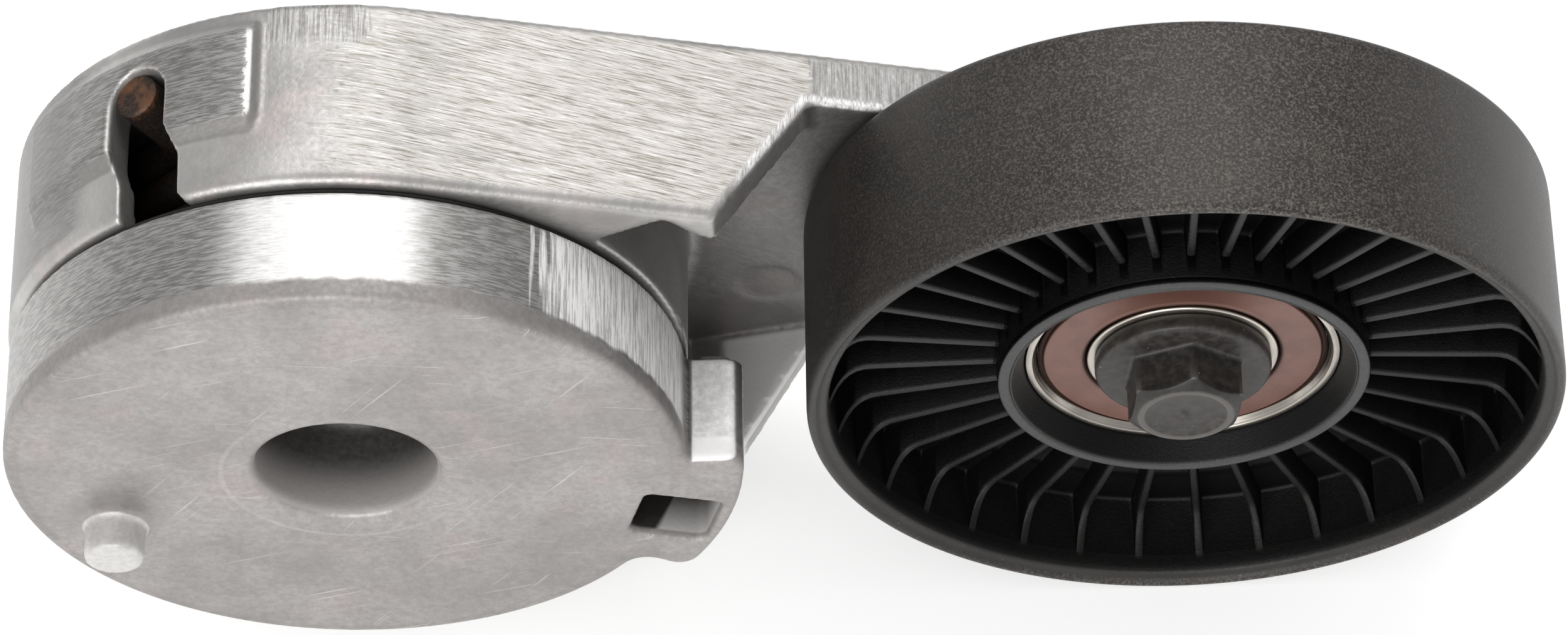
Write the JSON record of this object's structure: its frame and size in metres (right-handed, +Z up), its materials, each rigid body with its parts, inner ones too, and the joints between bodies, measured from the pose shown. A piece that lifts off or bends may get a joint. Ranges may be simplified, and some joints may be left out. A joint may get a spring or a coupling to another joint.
{
  "type": "belt tensioner idler",
  "caption": "Sprung belt tensioner: cast base, teardrop arm with coil spring, and a ribbed flat idler pulley on a sealed ball bearing.",
  "frame": {"origin": "centre of the mounting bore's mouth, on the plane of the mounting face", "axes": "+X from the pivot axis to the pulley axis at rest, +Y along both axes away from the mounting face, +Z up"},
  "size_m": [0.1985, 0.0505, 0.0961],
  "materials": {
    "cast_aluminium": "as cast, belt sanded on the outer walls",
    "black_nylon": "matt moulded, glass filled",
    "bearing_steel": "ground",
    "plated_steel": "zinc plated",
    "phosphate_steel": "dark phosphate",
    "rusted_spring_steel": "light rust",
    "brown_seal_rubber": "satin moulded",
    "black_rubber": "matt",
    "bushing_nylon": "natural, satin"
  },
  "bodies": {
    "base": {"base_housing": "cast_aluminium", "retaining_plate": "plated_steel", "thrust_washer": "bushing_nylon", "dust_seal_ring": "black_rubber", "damping_bushing": "black_nylon", "spring_seat": "bushing_nylon"},
    "arm": {"tensioner_arm": "cast_aluminium", "pivot_bushing": "bushing_nylon", "torsion_spring": "rusted_spring_steel", "pulley_bolt": "phosphate_steel", "bearing_spacer": "plated_steel", "bearing_inner_ring": "bearing_steel"},
    "pulley": {"ribbed_pulley": "black_nylon", "bearing_outer_ring": "bearing_steel", "bearing_seal_front": "brown_seal_rubber", "bearing_seal_rear": "brown_seal_rubber"},
    "cage": {"bearing_cage": "bushing_nylon", "bearing_ball_1": "bearing_steel", "bearing_ball_2": "bearing_steel", "bearing_ball_3": "bearing_steel", "bearing_ball_4": "bearing_steel", "bearing_ball_5": "bearing_steel", "bearing_ball_6": "bearing_steel", "bearing_ball_7": "bearing_steel", "bearing_ball_8": "bearing_steel"}
  },
  "joints": [
    {"name": "arm_pivot", "type": "hinge", "parent": "base", "child": "arm", "pos_m": [0, 0, 0], "axis": [0, 1, 0], "range_deg": [0, 37], "stiffness_Nm_per_rad": 12, "springref_deg": -57.3, "deforming": ["torsion_spring"]},
    {"name": "pulley_spin", "type": "hinge", "parent": "arm", "child": "pulley", "pos_m": [0.1069, 0.0197, 0], "axis": [0, 1, 0], "continuous": true},
    {"name": "cage_spin", "type": "hinge", "parent": "arm", "child": "cage", "pos_m": [0.1069, 0.0197, 0], "axis": [0, 1, 0], "continuous": true}
  ],
  "couplings": [
    {"joint": "cage_spin", "follows": "pulley_spin", "ratio": 0.6182}
  ]
}
